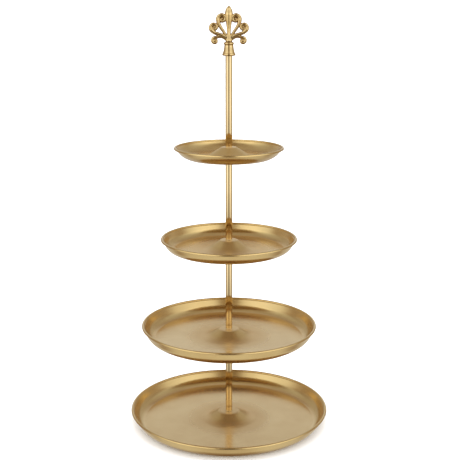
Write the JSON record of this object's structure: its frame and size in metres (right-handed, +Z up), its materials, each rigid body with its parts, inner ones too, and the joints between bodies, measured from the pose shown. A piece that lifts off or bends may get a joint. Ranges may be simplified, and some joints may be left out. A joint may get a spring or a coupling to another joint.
{
  "type": "tiered cake stand",
  "caption": "Tiered serving stand: round dished metal trays of rising size towards the foot, threaded on a central tube post with a cast scrolled finial on top.",
  "frame": {"origin": "on the post line, in the plane that the base tray stands on", "axes": "+Z up along the posts to the finial, +X to the right across the flat of the finial, -Y towards the viewer"},
  "size_m": [0.3, 0.3, 0.6241],
  "materials": {
    "satin_gold": "satin, finely brushed gold plating over pressed steel",
    "cast_gold": "cast metal with satin gold plating, polished on the high spots",
    "plated_steel": "zinc-plated steel thread parts",
    "gasket_nylon": "translucent amber nylon"
  },
  "bodies": {
    "base": {"base_tray": "satin_gold", "base_screw": "plated_steel", "base_washer": "plated_steel"},
    "lowest_post_lift": {"lowest_post_gasket": "gasket_nylon"},
    "lowest_post": {"lowest_post": "satin_gold", "lowest_post_lower_insert": "plated_steel", "lowest_post_upper_insert": "plated_steel", "lowest_post_stud": "plated_steel"},
    "second_tray": {"second_tray": "satin_gold"},
    "second_post_lift": {"second_post_gasket": "gasket_nylon"},
    "second_post": {"second_post": "satin_gold", "second_post_lower_insert": "plated_steel", "second_post_upper_insert": "plated_steel", "second_post_stud": "plated_steel"},
    "third_tray": {"third_tray": "satin_gold"},
    "third_post_lift": {"third_post_gasket": "gasket_nylon"},
    "third_post": {"third_post": "satin_gold", "third_post_lower_insert": "plated_steel", "third_post_upper_insert": "plated_steel", "third_post_stud": "plated_steel"},
    "top_tray": {"top_tray": "satin_gold"},
    "top_post_lift": {"top_post_gasket": "gasket_nylon"},
    "top_post": {"top_post": "satin_gold", "top_post_lower_insert": "plated_steel", "top_post_upper_insert": "plated_steel", "top_post_stud": "plated_steel"},
    "finial_lift": {"collar_gasket": "gasket_nylon"},
    "finial": {"finial_collar": "cast_gold", "finial_ornament": "cast_gold"}
  },
  "joints": [
    {"name": "lowest_post_rise", "type": "slide", "parent": "base", "child": "lowest_post_lift", "axis": [0, 0, 1], "range_m": [0, 0.008]},
    {"name": "lowest_post_unscrew", "type": "hinge", "parent": "lowest_post_lift", "child": "lowest_post", "pos_m": [0, 0, 0.0136], "axis": [0, 0, 1], "range_deg": [0, 2880]},
    {"name": "second_tray_swivel", "type": "hinge", "parent": "lowest_post", "child": "second_tray", "pos_m": [0, 0, 0.1456], "axis": [0, 0, 1], "continuous": true},
    {"name": "second_post_rise", "type": "slide", "parent": "lowest_post", "child": "second_post_lift", "axis": [0, 0, 1], "range_m": [0, 0.008]},
    {"name": "second_post_unscrew", "type": "hinge", "parent": "second_post_lift", "child": "second_post", "pos_m": [0, 0, 0.1472], "axis": [0, 0, 1], "range_deg": [0, 2880]},
    {"name": "third_tray_swivel", "type": "hinge", "parent": "second_post", "child": "third_tray", "pos_m": [0, 0, 0.2842], "axis": [0, 0, 1], "continuous": true},
    {"name": "third_post_rise", "type": "slide", "parent": "second_post", "child": "third_post_lift", "axis": [0, 0, 1], "range_m": [0, 0.008]},
    {"name": "third_post_unscrew", "type": "hinge", "parent": "third_post_lift", "child": "third_post", "pos_m": [0, 0, 0.2858], "axis": [0, 0, 1], "range_deg": [0, 2880]},
    {"name": "top_tray_swivel", "type": "hinge", "parent": "third_post", "child": "top_tray", "pos_m": [0, 0, 0.4228], "axis": [0, 0, 1], "continuous": true},
    {"name": "top_post_rise", "type": "slide", "parent": "third_post", "child": "top_post_lift", "axis": [0, 0, 1], "range_m": [0, 0.008]},
    {"name": "top_post_unscrew", "type": "hinge", "parent": "top_post_lift", "child": "top_post", "pos_m": [0, 0, 0.4244], "axis": [0, 0, 1], "range_deg": [0, 2880]},
    {"name": "finial_rise", "type": "slide", "parent": "top_post", "child": "finial_lift", "axis": [0, 0, 1], "range_m": [0, 0.008]},
    {"name": "finial_unscrew", "type": "hinge", "parent": "finial_lift", "child": "finial", "pos_m": [0, 0, 0.5614], "axis": [0, 0, 1], "range_deg": [0, 2880]}
  ],
  "couplings": [
    {"joint": "lowest_post_unscrew", "follows": "lowest_post_rise", "rad_per_m": 6283.2},
    {"joint": "second_post_unscrew", "follows": "second_post_rise", "rad_per_m": 6283.2},
    {"joint": "third_post_unscrew", "follows": "third_post_rise", "rad_per_m": 6283.2},
    {"joint": "top_post_unscrew", "follows": "top_post_rise", "rad_per_m": 6283.2},
    {"joint": "finial_unscrew", "follows": "finial_rise", "rad_per_m": 6283.2}
  ]
}
